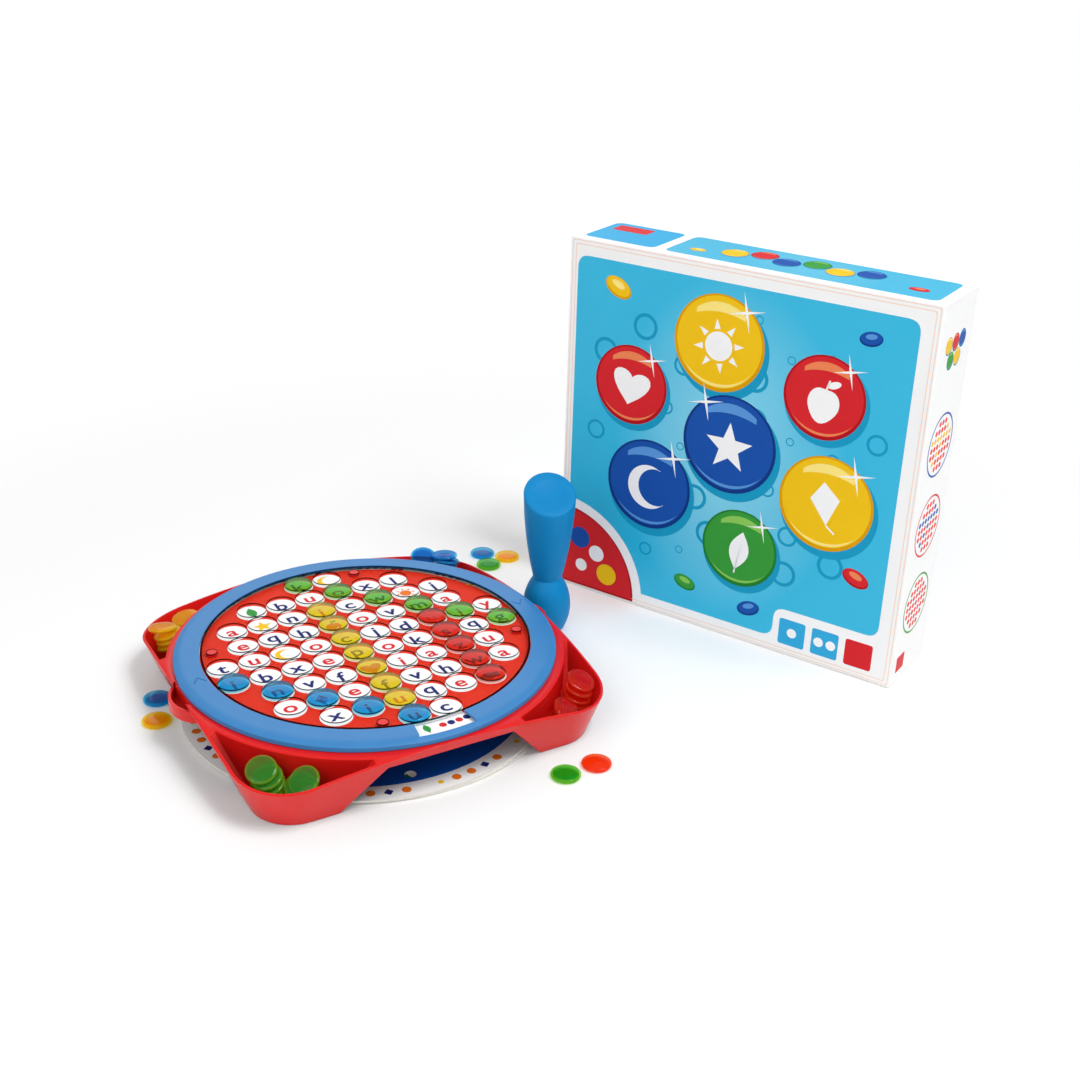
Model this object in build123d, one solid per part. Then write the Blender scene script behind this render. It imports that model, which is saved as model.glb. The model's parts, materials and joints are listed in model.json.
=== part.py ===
from build123d import *
import math
import os

# A word search board game set out on a table: a round letter board with a turning ring on a
# tray with four corner bins, see-through tokens, two spare cards, a grab totem and the box.
# Millimetres, +Z up, table at z = 0, origin under the middle of the whole set-out.
# Pieces are drawn about the middle of the board and moved to the origin at the end.

# Tokens and the grid of sockets
cell_gap = 2.0
cells_in_row = [2, 6, 8, 8, 10, 10, 8, 8, 6, 2]
token_diameter = 19.0
token_height = 3.4
token_bevel = 1.0
token_bevel_slope = 50.0
token_sides = 12
socket_play = 0.35
socket_depth = 1.7

# Clear grid plate
plate_floor = 0.8
plate_border = 2.6
plate_flange = 1.0
bead_width = 1.2
bead_height = 0.6

# Cards
card_thickness = 1.5
card_play = 0.5
peg_diameter = 6.6
peg_hole_play = 0.4
peg_cells = [(1.5, 4.5), (4.5, -1.5), (-1.5, -4.5), (-4.5, 1.5)]

# Turning ring
ring_width = 16.5
ring_lip = 1.8
ring_wall = 1.6
ring_play = 0.5
ring_crease = 5.5
ring_bevel_drop = 2.5
window_angle = 18.0
window_depth = 12.8
chevron_size = 7.0
chevron_spread = 33.0
chevron_line = 0.9
chevron_depth = 0.4

# Tray
deck_height = 37.0
deck_thickness = 2.0
deck_slope = 17.0
platform_rise = 1.0
rim_margin = 2.5
tray_wall = 2.0
foot_corner = 27.0
bin_floor = 17.0
bin_ledge = 5.5
bin_tip = 2.0
skirt_height = 7.0
bin_turns = {"red": -45.0, "blue": 45.0, "yellow": 135.0, "green": 225.0}
scoop_radius = 24.0
scoop_bulge = 6.0
scoop_dip = 4.0
scoop_height = 8.0

# Grab totem
totem_foot = 12.0
totem_bulb = 17.0
totem_bulb_height = 16.0
totem_waist = 10.2
totem_waist_height = 41.0
totem_stem = 15.0
totem_stem_height = 66.0
totem_head = 18.4
totem_head_height = 106.0
totem_slant = 26.0
totem_facing = -112.0
dish_radius = 40.0
dish_depth = 2.0
bulb_chords = 5
stem_chords = 3
dish_chords = 2

# Box
box_side = 270.0
box_depth = 60.0
board_thickness = 1.6
box_play = 0.8
wrap_radius = 1.0

# Clearances of pieces that lie in one another and of pieces that move on one another
seat_gap = 0.1
running_gap = 0.3

# Set-out on the table. A group of loose tokens has its distance out from the tray's rim and along
# it, its turn in degrees, the gap between its tokens and their colours.
box_corner = (199.0, 86.0)
box_yaw = -64.0
totem_gap = 3.0
totem_along = 27.0
spare_play = 3.6
spare_angles = (-37.0, -140.0)
spare_turns = (25.0, 60.0)
pile_play = 2.0
table_groups = {
    "left": (-3.0, 45.0, 72.0, 8.0, ["blue", "yellow"]),
    "front": (-15.0, 80.0, 183.0, 4.0, ["green", "red"]),
    "back": (43.5, 141.5, 106.0, 1.5, ["blue", "green", "yellow"]),
}

# Sizes that follow from those above
grid_pitch = token_diameter + cell_gap
token_radius = token_diameter / 2
socket_radius = token_radius + socket_play
rows = len(cells_in_row)
field_radius = socket_radius + grid_pitch * max(
    math.hypot((count - 1) / 2, (rows - 1) / 2 - row) for row, count in enumerate(cells_in_row))
window_radius = field_radius + plate_border
ring_radius = window_radius + ring_width
skirt_radius = ring_radius - ring_wall
platform_radius = skirt_radius - ring_play
card_radius = platform_radius - card_play
peg_hole = peg_diameter / 2 + peg_hole_play
plate_radius = window_radius - ring_play
rim_half = ring_radius + rim_margin
bin_radius = ring_radius + bin_ledge
arc_radius = bin_radius - tray_wall
foot_half = (bin_radius + bin_floor + tray_wall + (math.sqrt(2) - 1) * foot_corner) / math.sqrt(2)
wall_growth = (rim_half - foot_half) / deck_height
platform_top = deck_height + platform_rise
card_z = platform_top + seat_gap
plate_z = card_z + card_thickness + seat_gap
socket_z = plate_z + plate_floor
plate_top = socket_z + socket_depth
ring_z = plate_z + plate_flange + running_gap
ring_top = ring_z + ring_lip
tray_reach = rim_half + scoop_bulge
through = 100.0
base_up = (Align.CENTER, Align.CENTER, Align.MIN)
corner_up = (Align.MIN, Align.MIN, Align.MIN)


def disc(radius, height, z):
    return Pos(0, 0, z) * Cylinder(radius, height, align=base_up)


def peg_spots():
    return [Pos(x * grid_pitch, y * grid_pitch) for x, y in peg_cells]


def cell_spot(row, column):
    return ((column - (rows + 1) / 2) * grid_pitch, ((rows + 1) / 2 - row) * grid_pitch)


# Tray: block between two heights with sloping sides and conical corners, inset from the outside
def tray_block(low, high, inset):
    halves = [foot_half + wall_growth * z - inset for z in (low, high)]
    corners = [foot_corner + wall_growth * z - inset for z in (low, high)]
    middle = halves[0] - corners[0]
    outline = Polyline((-halves[0], low), (halves[0], low), (halves[1], high), (-halves[1], high), close=True)
    across = extrude(Plane.XZ * make_face(outline), middle, both=True)
    block = across + Rot(0, 0, 90) * across
    for x in (-middle, middle):
        for y in (-middle, middle):
            block += Pos(x, y, low) * Cone(corners[0], corners[1], high - low, align=base_up)
    return block


# Tray: distance from the middle of a side to where a bin's walls run together, at a height
def tip_along(z, inset):
    side = foot_half + wall_growth * z - inset - bin_tip
    return math.sqrt((arc_radius + inset + bin_tip) ** 2 - side ** 2)


# Tray: one bin between its floor and the deck, with the thin tips of its plan cut off flat
def bin_block(low, inset):
    tips = [tip_along(z, inset) for z in (low, deck_height)]
    reach = 2 * rim_half
    outline = Polyline((tips[0], low), (reach, low), (reach, deck_height), (tips[1], deck_height), close=True)
    keep = extrude(Plane.XZ * make_face(outline), reach, both=True)
    block = tray_block(low, deck_height, inset) & keep & Rot(0, 0, 90) * keep
    return block - disc(arc_radius + inset, through, low)


# Tray: everything above the deck, which falls away outside the ring towards the bins
def above_deck():
    reach = 2 * rim_half
    start = ring_radius + rim_margin
    fall = (reach - start) * math.tan(math.radians(deck_slope))
    outline = Polyline((0, deck_height), (start, deck_height), (reach, deck_height - fall),
                       (reach, deck_height + through), (0, deck_height + through), close=True)
    return revolve(Plane.XZ * make_face(outline), Axis.Z)


# Tray: finger scoop in the middle of a side, so that a finger reaches the ring's edge
def scoop(radius, low, high, inner_edge):
    centre = tray_reach - scoop_radius
    pad = Pos(centre, 0, low) * Cylinder(radius, high - low, align=base_up)
    keep = Pos(inner_edge, 0, low) * Box(through, through, high - low, align=(Align.MIN, Align.CENTER, Align.MIN))
    return pad & keep


def make_tray():
    turns = [Rot(0, 0, turn - 45) for turn in bin_turns.values()]
    bin_body = bin_block(0, 0)
    bin_hollow = bin_block(tray_wall, tray_wall)
    skirt_low = deck_height - skirt_height
    skirt_reach = tip_along(skirt_low, 0) + tray_wall
    skirt = tray_block(skirt_low, deck_height, 0) - tray_block(skirt_low, deck_height, tray_wall)
    skirt &= disc(math.hypot(rim_half, skirt_reach), through, 0)
    deck = tray_block(deck_height - deck_thickness, deck_height, 0)
    deck &= disc(bin_radius, through, 0)
    tray = deck + skirt
    for turn in turns:
        tray += turn * bin_body
    tray -= above_deck()
    for turn in turns:
        tray -= turn * bin_hollow
    scoop_top = deck_height - scoop_dip
    scoop_low = scoop_top - scoop_height
    for turn in (Rot(0, 0, 0), Rot(0, 0, 180)):
        tray += turn * scoop(scoop_radius, scoop_low, scoop_top, rim_half - tray_wall - scoop_bulge)
        tray -= turn * scoop(scoop_radius - tray_wall, scoop_low + tray_wall, deck_height,
                             ring_radius + running_gap)
    tray += disc(platform_radius, platform_rise + deck_thickness, deck_height - deck_thickness)
    for spot in peg_spots():
        tray += spot * disc(peg_diameter / 2, plate_top - platform_top - seat_gap, platform_top)
    return tray


# Cards: the letter card in the board and the spare ones are the same round card
def make_card(z):
    card = disc(card_radius, card_thickness, z)
    for spot in peg_spots():
        card -= spot * disc(peg_hole, card_thickness, z)
    return card


# Clear plate: 68 sockets in rows, a flange under the ring and a bead inside the ring's window
def make_plate():
    plate = disc(card_radius, plate_flange, plate_z)
    plate += disc(plate_radius, plate_top - plate_z, plate_z)
    plate += disc(plate_radius, bead_height, plate_top) - disc(plate_radius - bead_width, bead_height, plate_top)
    sockets = Sketch()
    for row, count in enumerate(cells_in_row):
        y = ((rows - 1) / 2 - row) * grid_pitch
        for k in range(count):
            x = (k - (count - 1) / 2) * grid_pitch
            sockets += Pos(x, y) * RegularPolygon(socket_radius, token_sides)
    plate -= extrude(Pos(0, 0, socket_z) * sockets, socket_depth)
    for spot in peg_spots():
        plate -= spot * disc(peg_hole, plate_top - plate_z, plate_z)
    return plate


# Ring: lip over the plate's flange, bevelled shoulder and a skirt outside the platform
def make_ring():
    low = deck_height + running_gap
    shoulder = ring_radius - ring_crease
    outline = Polyline((window_radius, ring_z), (window_radius, ring_top), (shoulder, ring_top),
                       (ring_radius, ring_top - ring_bevel_drop), (ring_radius, low),
                       (skirt_radius, low), (skirt_radius, ring_z), close=True)
    ring = revolve(Plane.XZ * make_face(outline), Axis.Z)
    half = window_angle / 2
    reach = window_radius + window_depth
    window = CenterArc((0, 0), reach, -90 - half, window_angle)
    sides = Polyline(window @ 1, (0, 0), window @ 0)
    ring -= extrude(Pos(0, 0, ring_z) * make_face([window, sides]), ring_lip)
    chevron = Sketch()
    for slant in (-1, 1):
        bar = Rectangle(chevron_size, chevron_line, align=(Align.MIN, Align.CENTER))
        chevron += Rot(0, 0, 90 + chevron_spread * slant) * bar
    groove = extrude(Pos(0, 0, ring_top - chevron_depth) * chevron, chevron_depth)
    middle = (window_radius + shoulder) / 2
    for turn in (0, 180):
        ring -= Rot(0, 0, turn) * Pos(middle, -chevron_size / 2, 0) * groove
    return ring


# Token: a many-sided disc with a bevelled top, drawn about its own middle
def make_token():
    side = token_height - token_bevel
    outline = Pos(0, 0, -token_height / 2) * RegularPolygon(token_radius, token_sides)
    token = extrude(outline, side)
    return token + extrude(token.faces().sort_by(Axis.Z)[-1], token_bevel, taper=token_bevel_slope)


# Totem: an arc of its outline as a few chords
def chords(arc, count):
    return Polyline(*[arc @ (k / count) for k in range(count + 1)])


# Totem: turned bulb and flared stem, with a slanted dished head that faces the player
def make_totem():
    bulb = ThreePointArc((totem_foot, 0), (totem_bulb, totem_bulb_height), (totem_waist, totem_waist_height))
    stem = ThreePointArc((totem_waist, totem_waist_height), (totem_stem, totem_stem_height),
                         (totem_head, totem_head_height))
    top = totem_head_height + 2 * totem_head
    cap = Polyline((totem_head, totem_head_height), (totem_head, top), (0, top), (0, 0), (totem_foot, 0))
    outline = make_face([chords(bulb, bulb_chords), chords(stem, stem_chords), cap])
    totem = revolve(Plane.XZ * outline, Axis.Z)
    opening = math.degrees(math.acos(1 - dish_depth / dish_radius))
    bowl = CenterArc((0, dish_radius - dish_depth), dish_radius, -90, opening)
    rim = (bowl @ 1).X
    lid = Polyline((rim, 0), (rim, dish_depth), (0, dish_depth), (0, -dish_depth))
    dish = revolve(Plane.XZ * make_face([chords(bowl, dish_chords), lid]), Axis.Z)
    head = Pos(0, 0, totem_head_height) * Rot(0, totem_slant, 0)
    totem -= head * Box(through, through, through, align=base_up)
    totem -= head * dish
    spot = Pos(tray_reach + totem_bulb + totem_gap, totem_along)
    return spot * Rot(0, 0, totem_facing) * totem


# Box: a lid over the full depth of a tray, standing on one side with the lid to the front
def box_place():
    return Pos(box_corner[0], box_corner[1]) * Rot(0, 0, box_yaw)


def make_lid():
    lid = Box(box_side, box_depth, box_side, align=corner_up)
    front = lid.faces().sort_by(Axis.Y)[0]
    lid = fillet(front.edges() + lid.edges().filter_by(Axis.Y), wrap_radius)
    inner = box_side - 2 * board_thickness
    hollow = Box(inner, box_depth, inner, align=corner_up)
    return box_place() * (lid - Pos(board_thickness, board_thickness, board_thickness) * hollow)


def make_box_tray():
    step = board_thickness + box_play
    outer = box_side - 2 * step
    inner = outer - 2 * board_thickness
    depth = box_depth - step
    body = Box(outer, depth, outer, align=corner_up)
    hollow = Box(inner, depth - board_thickness, inner, align=corner_up)
    body -= Pos(board_thickness, 0, board_thickness) * hollow
    return box_place() * Pos(step, step, step) * body


# Rows of tokens on found words: first cell, step to the next cell, and number of tokens
board_rows = {
    "green": ((1, 5), (1, 1), 6),
    "yellow": ((3, 5), (1, 0), 7),
    "red": ((5, 8), (1, 0), 5),
    "blue": ((6, 1), (1, 1), 5),
}


def place_board_tokens(nodes, token):
    seat = socket_z + seat_gap + token_height / 2
    for colour, (first, step, count) in board_rows.items():
        for k in range(count):
            x, y = cell_spot(first[0] + k * step[0], first[1] + k * step[1])
            nodes[f"board_token_{colour}_{k + 1}"] = Pos(x, y, seat) * token


# Tokens in a bin lie in two stacks side by side. The lowest token of a stack bridges the floor
# between the two walls, and the ones above it lie flatter, against the inner wall.
mirrored_bins = ("yellow", "red")
stack_leans = {-1: [20.0, 20.0], 1: [28.0]}


def token_half_length(lean):
    return token_radius * math.cos(lean) + token_height / 2 * math.sin(lean)


def token_half_rise(lean):
    return token_radius * math.sin(lean) + token_height / 2 * math.cos(lean)


# Poses in one stack: distance out from the inner wall, height above the floor and lean
def stack_poses(leans):
    low = math.acos((bin_floor - pile_play) / math.hypot(token_diameter, token_height))
    low += math.atan2(token_height, token_diameter)
    up = token_half_rise(low) + running_gap
    poses = [(token_half_length(low) + running_gap, up, low)]
    crest = up + token_half_rise(low) + running_gap
    crest_out = token_height * math.sin(low) + running_gap
    for k, degrees in enumerate(leans):
        lean = math.radians(degrees)
        out = token_half_length(lean) + running_gap
        up = crest + token_height / 2 / math.cos(lean) - (out - crest_out) * math.tan(lean)
        poses.append((out, up + k * (token_height + running_gap) / math.cos(lean), lean))
    return poses


def place_bin_tokens(nodes, token):
    for colour, turn in bin_turns.items():
        count = 0
        for side, leans in stack_leans.items():
            hand = -side if colour in mirrored_bins else side
            for out, up, lean in stack_poses(leans):
                reach = bin_radius + out
                aside = math.degrees(math.asin((token_radius + running_gap) / reach))
                spot = Rot(0, 0, turn + hand * aside) * Pos(reach, 0, tray_wall + up)
                count += 1
                nodes[f"bin_token_{colour}_{count}"] = spot * Rot(0, math.degrees(lean), 0) * token


# Loose tokens lie on the table in close groups, each set out from one side of the tray's rim
def place_table_tokens(nodes, token):
    for group, (out, along, turn, gap, colours) in table_groups.items():
        out += math.copysign(rim_half, out)
        x, y = (along, out) if group == "front" else (out, along)
        apart = (token_diameter + gap) / 2 / math.sin(math.pi / len(colours))
        for k, colour in enumerate(colours):
            angle = math.radians(turn + 360 * k / len(colours))
            spot = Pos(x + apart * math.cos(angle), y + apart * math.sin(angle), token_height / 2)
            nodes[f"table_token_{group}_{colour}"] = spot * token


def make_nodes():
    nodes = {
        "base_tray": make_tray(),
        "letter_card": make_card(card_z),
        "grid_plate": make_plate(),
        "turn_ring": make_ring(),
        "totem": make_totem(),
        "box_lid": make_lid(),
        "box_tray": make_box_tray(),
    }
    shift = arc_radius - card_radius - spare_play
    for k, name in enumerate(("spare_card_lower", "spare_card_upper")):
        spot = Rot(0, 0, spare_angles[k]) * Pos(shift, 0) * Rot(0, 0, spare_turns[k])
        nodes[name] = spot * make_card(k * (card_thickness + seat_gap))
    token = make_token()
    place_board_tokens(nodes, token)
    place_bin_tokens(nodes, token)
    place_table_tokens(nodes, token)
    return nodes


nodes = make_nodes()
boxes = [shape.bounding_box() for shape in nodes.values()]
middle_x = (min(box.min.X for box in boxes) + max(box.max.X for box in boxes)) / 2
middle_y = (min(box.min.Y for box in boxes) + max(box.max.Y for box in boxes)) / 2
print(f"board centre at {-middle_x:.4f} {-middle_y:.4f}")
os.makedirs("parts", exist_ok=True)
for name, shape in nodes.items():
    export_step(Pos(-middle_x, -middle_y) * shape, f"parts/{name}.step")
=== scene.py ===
import json
import math
import bmesh
import bpy
from mathutils import Matrix, Vector


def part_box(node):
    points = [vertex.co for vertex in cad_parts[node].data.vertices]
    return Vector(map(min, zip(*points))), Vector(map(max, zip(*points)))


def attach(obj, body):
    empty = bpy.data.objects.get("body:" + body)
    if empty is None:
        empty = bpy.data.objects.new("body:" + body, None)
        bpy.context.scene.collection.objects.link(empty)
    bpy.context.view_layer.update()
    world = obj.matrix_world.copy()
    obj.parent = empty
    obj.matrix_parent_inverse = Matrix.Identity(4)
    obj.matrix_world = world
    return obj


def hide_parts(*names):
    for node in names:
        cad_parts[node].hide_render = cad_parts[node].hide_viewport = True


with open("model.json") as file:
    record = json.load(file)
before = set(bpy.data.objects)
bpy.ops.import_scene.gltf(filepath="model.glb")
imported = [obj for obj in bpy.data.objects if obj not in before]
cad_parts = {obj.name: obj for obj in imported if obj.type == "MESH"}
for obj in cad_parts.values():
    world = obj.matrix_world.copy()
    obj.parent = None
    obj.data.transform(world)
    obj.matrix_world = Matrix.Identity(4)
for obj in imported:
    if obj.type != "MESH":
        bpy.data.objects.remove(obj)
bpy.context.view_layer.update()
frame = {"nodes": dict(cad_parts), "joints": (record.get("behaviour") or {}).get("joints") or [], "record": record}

# A word search board game laid out on a pale table: board, tokens, spare cards, totem and box.
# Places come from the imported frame. Sizes are in millimetres unless a name says otherwise.

mm = 0.001
ringLow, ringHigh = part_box("turn_ring")
boardCentre = Vector(((ringLow.x + ringHigh.x) / 2, (ringLow.y + ringHigh.y) / 2, 0))
onBoard = Matrix.Translation(boardCentre)


def linear(code):
    values = []
    for k in (1, 3, 5):
        level = int(code[k:k + 2], 16) / 255
        values.append(level / 12.92 if level <= 0.04045 else ((level + 0.055) / 1.055) ** 2.4)
    return (*values, 1.0)


def addNode(material, kind, inputs={}, **settings):
    item = material.node_tree.nodes.new(kind)
    for name, value in settings.items():
        setattr(item, name, value)
    for socket, value in inputs.items():
        if isinstance(value, bpy.types.NodeSocket):
            material.node_tree.links.new(value, item.inputs[socket])
        else:
            item.inputs[socket].default_value = value
    return item


def newMaterial(name):
    material = bpy.data.materials.new(name)
    material.use_nodes = True
    material.node_tree.nodes.clear()
    return material


def perMm(size):
    return 1 / (size * mm)


def mixColours(material, factor, first, second, **settings):
    inputs = {"Factor": factor, 6: first, 7: second}
    return addNode(material, "ShaderNodeMix", inputs, data_type="RGBA", **settings).outputs[2]


def mixShaders(material, factor, first, second):
    return addNode(material, "ShaderNodeMixShader", {0: factor, 1: first, 2: second}).outputs["Shader"]


def calculated(material, operation, first, second, clamp=False):
    inputs = {0: first, 1: second}
    return addNode(material, "ShaderNodeMath", inputs, operation=operation, use_clamp=clamp).outputs["Value"]


def ranged(material, value, low, high):
    inputs = {"Value": value, "To Min": low, "To Max": high}
    return addNode(material, "ShaderNodeMapRange", inputs).outputs["Result"]


def noise(material, size, detail):
    place = addNode(material, "ShaderNodeTexCoord").outputs["Object"]
    inputs = {"Vector": place, "Scale": perMm(size), "Detail": detail}
    return addNode(material, "ShaderNodeTexNoise", inputs).outputs["Fac"]


def bumped(material, height, strength, depth):
    inputs = {"Height": height, "Strength": strength, "Distance": depth * mm}
    return addNode(material, "ShaderNodeBump", inputs).outputs["Normal"]


def finishMaterial(material, surface):
    addNode(material, "ShaderNodeOutputMaterial", {"Surface": surface})
    return material


# ABS or polystyrene out of a mould: even colour with a faint cloud, fine spark texture, soft gloss.
# A neutral share keeps its colour from staining the pale things beside it.
def mouldedPlastic(name, colour, shade, roughness, mirror, cloud=18.0, grain=0.7, depth=0.004, neutral=0.0):
    material = newMaterial(name)
    soft = noise(material, cloud, 3.0)
    fine = noise(material, grain, 2.0)
    tone = mixColours(material, soft, linear(shade), linear(colour))
    if neutral:
        path = addNode(material, "ShaderNodeLightPath")
        stain = calculated(material, "MULTIPLY", path.outputs["Is Diffuse Ray"], neutral)
        tone = mixColours(material, stain, tone, linear("#727272"))
    gloss = ranged(material, fine, roughness - 0.03, roughness + 0.04)
    skin = addNode(material, "ShaderNodeBsdfPrincipled", {
        "Base Color": tone, "Roughness": gloss, "Normal": bumped(material, fine, 0.2, depth), "IOR": 1.5,
        "Specular IOR Level": mirror})
    return finishMaterial(material, skin.outputs["BSDF"])


# Offset print on coated paper: the ink lies a little unevenly over the paper's fibres and in wider patches
def printedPaper(name, colour, shade, roughness=0.4, fibre=1.1, patch=30.0, mirror=0.06):
    material = newMaterial(name)
    ink = noise(material, fibre, 4.0)
    wide = noise(material, fibre * patch, 2.0)
    tone = mixColours(material, calculated(material, "MULTIPLY", ink, wide), linear(colour), linear(shade))
    skin = addNode(material, "ShaderNodeBsdfPrincipled", {
        "Base Color": tone, "Roughness": roughness, "Normal": bumped(material, ink, 0.08, 0.01), "IOR": 1.5,
        "Specular IOR Level": mirror})
    return finishMaterial(material, skin.outputs["BSDF"])


# Clear polystyrene, injection moulded: almost unseen straight through, and the polished top mirrors the room
# faintly. Light passes it untinted. A dark veil is painted shade: the camera sees it, light passes it.
def clearPlastic(name, veil):
    material = newMaterial(name)
    wave = bumped(material, noise(material, 25, 1.0), 0.05, 0.3)
    through = addNode(material, "ShaderNodeBsdfTransparent", {"Color": linear(veil)}).outputs["BSDF"]
    mirror = addNode(material, "ShaderNodeBsdfGlossy", {"Roughness": 0.04, "Normal": wave}).outputs["BSDF"]
    slant = addNode(material, "ShaderNodeLayerWeight", {"Blend": 0.5}).outputs["Facing"]
    edge = ranged(material, calculated(material, "POWER", slant, 4.0), 0.001, 0.05)
    facing = addNode(material, "ShaderNodeNewGeometry")
    outer = calculated(material, "SUBTRACT", edge, facing.outputs["Backfacing"], clamp=True)
    tilt = addNode(material, "ShaderNodeSeparateXYZ", {"Vector": facing.outputs["True Normal"]})
    polished = calculated(material, "GREATER_THAN", tilt.outputs["Z"], 0.5)
    skin = mixShaders(material, calculated(material, "MULTIPLY", outer, polished), through, mirror)
    path = addNode(material, "ShaderNodeLightPath")
    lighting = calculated(material, "MAXIMUM", path.outputs["Is Shadow Ray"], path.outputs["Is Diffuse Ray"])
    bare = addNode(material, "ShaderNodeBsdfTransparent").outputs["BSDF"]
    return finishMaterial(material, mixShaders(material, lighting, skin, bare))


# Tinted polystyrene: what lies below shows through in the tint, the pigment hazes it, and the top mirrors the
# room. The thin rim is lighter than the thick middle, and brighter still as painted light gathered in the rim.
def tintedPlastic(name, tint, pigment, rimTintAndGlow, rimPigmentAndGlow, scatter):
    material = newMaterial(name)
    cloud = ranged(material, noise(material, 9, 1.0), scatter - 0.06, scatter + 0.06)
    inside = addNode(material, "ShaderNodeNewGeometry").outputs["Backfacing"]
    haze = calculated(material, "SUBTRACT", cloud, inside, clamp=True)
    reach = addNode(material, "ShaderNodeAttribute", attribute_name="reach").outputs["Fac"]
    thinAndGlowing = addNode(material, "ShaderNodeMapRange", {"Value": reach, "From Min": 0.8, "From Max": 0.95},
                   interpolation_type="SMOOTHSTEP").outputs["Result"]
    seen = mixColours(material, thinAndGlowing, linear(tint), linear(rimTintAndGlow))
    hue = mixColours(material, thinAndGlowing, linear(pigment), linear(rimPigmentAndGlow))
    through = addNode(material, "ShaderNodeBsdfTransparent", {"Color": seen}).outputs["BSDF"]
    milk = addNode(material, "ShaderNodeBsdfPrincipled", {
        "Base Color": hue, "Roughness": 0.4, "IOR": 1.49, "Specular IOR Level": 0.0}).outputs["BSDF"]
    body = mixShaders(material, haze, through, milk)
    mirror = addNode(material, "ShaderNodeBsdfGlossy", {"Roughness": 0.07}).outputs["BSDF"]
    # An index of 1.32, because the real 1.59 veils the tint
    bounce = addNode(material, "ShaderNodeFresnel", {"IOR": 1.32}).outputs["Fac"]
    outer = calculated(material, "SUBTRACT", bounce, inside, clamp=True)
    return finishMaterial(material, mixShaders(material, outer, body, mirror))


def joinMeshes(name, meshes):
    whole = bmesh.new()
    for mesh in meshes:
        whole.from_mesh(mesh)
        bpy.data.meshes.remove(mesh)
    joined = bpy.data.meshes.new(name)
    whole.to_mesh(joined)
    whole.free()
    return joined


def addPiece(name, mesh, material, body, replaced=()):
    piece = bpy.data.objects.new(name, mesh)
    bpy.context.scene.collection.objects.link(piece)
    mesh.materials.clear()
    mesh.materials.append(material)
    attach(piece, body)
    if replaced:
        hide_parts(*replaced)
    return piece


def circle(radius, count=40, x=0.0, y=0.0, squash=1.0, turn=0.0):
    points = []
    for k in range(count):
        angle = 2 * math.pi * k / count + turn
        points.append((x + radius * math.cos(angle), y + radius * squash * math.sin(angle)))
    return points


def onCircle(radius, angle):
    return radius * math.cos(math.radians(angle)), radius * math.sin(math.radians(angle))


def arc(radius, first, last, count, x=0.0, y=0.0):
    angles = [math.radians(first + (last - first) * k / count) for k in range(count + 1)]
    return [(x + radius * math.cos(a), y + radius * math.sin(a)) for a in angles]


def curveMesh(curve, low, high, place):
    curve.dimensions = "2D"
    curve.fill_mode = "BOTH"
    curve.extrude = (high - low) / 2 * mm
    holder = bpy.data.objects.new("sheet", curve)
    mesh = bpy.data.meshes.new_from_object(holder)
    bpy.data.objects.remove(holder)
    bpy.data.curves.remove(curve)
    mesh.transform(place @ Matrix.Translation((0, 0, (low + high) / 2 * mm)))
    return mesh


# A flat sheet between two heights. A loop inside another one is a hole.
def sheet(loops, low, high, place):
    curve = bpy.data.curves.new("sheet", "CURVE")
    for loop in loops:
        spline = curve.splines.new("POLY")
        spline.points.add(len(loop) - 1)
        spline.use_cyclic_u = True
        for point, (x, y) in zip(spline.points, loop):
            point.co = (x * mm, y * mm, 0, 1)
    return curveMesh(curve, low, high, place)


def moved(loop, x, y, size=1.0, turn=0.0):
    cos, sin = math.cos(math.radians(turn)) * size, math.sin(math.radians(turn)) * size
    return [(x + px * cos - py * sin, y + px * sin + py * cos) for px, py in loop]


# Turned form: a profile of radius and height about the Z axis. Each point keeps its reach, from 0 in the
# middle to 1 at the rim.
def turned(profile, sides, place):
    shape = bmesh.new()
    reach = shape.verts.layers.float.new("reach")
    widest = max(radius for radius, height in profile)
    rings = []
    for radius, height in profile:
        if radius < 1e-6:
            rings.append([shape.verts.new((0, 0, height * mm))])
        else:
            rings.append([shape.verts.new((x * mm, y * mm, height * mm)) for x, y in circle(radius, sides)])
        for vertex in rings[-1]:
            vertex[reach] = radius / widest
    for low, high in zip(rings, rings[1:]):
        for k in range(sides):
            after = k + 1
            corners = [low[k % len(low)], low[after % len(low)], high[after % len(high)], high[k % len(high)]]
            shape.faces.new(list(dict.fromkeys(corners)))
    mesh = bpy.data.meshes.new("turned")
    for face in shape.faces:
        face.smooth = True
    shape.to_mesh(mesh)
    shape.free()
    mesh.transform(place)
    return mesh


# Copy of a CAD node with its edges rounded as a mould rounds them. Edges that climb further than a height
# get a wider round first.
def softenedCopy(node, radius, merge, flat=0.5, sharp=32.0, climb=None, climbRadius=0.0):
    shape = bmesh.new()
    shape.from_mesh(frame["nodes"][node].data)
    bmesh.ops.remove_doubles(shape, verts=shape.verts, dist=merge * mm)
    bmesh.ops.dissolve_limit(shape, angle_limit=math.radians(flat), verts=shape.verts, edges=shape.edges)

    def keenEdges():
        least = math.radians(sharp)
        return [edge for edge in shape.edges if edge.is_manifold and edge.calc_face_angle(0) > least]

    if climb:
        steep = [edge for edge in keenEdges()
                 if edge.is_convex and abs(edge.verts[0].co.z - edge.verts[1].co.z) > climb * mm]
        bmesh.ops.bevel(shape, geom=steep, offset=climbRadius * mm, segments=4, profile=0.5, affect="EDGES",
                        offset_type="OFFSET", clamp_overlap=False)
    bmesh.ops.bevel(shape, geom=keenEdges(), offset=radius * mm, segments=2, profile=0.6, affect="EDGES",
                    offset_type="OFFSET", clamp_overlap=False)
    for face in shape.faces:
        face.smooth = True
    for edge in shape.edges:
        edge.smooth = edge.is_manifold and edge.calc_face_angle(0) < math.radians(sharp)
    mesh = bpy.data.meshes.new(node)
    shape.to_mesh(mesh)
    shape.free()
    return mesh


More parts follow.
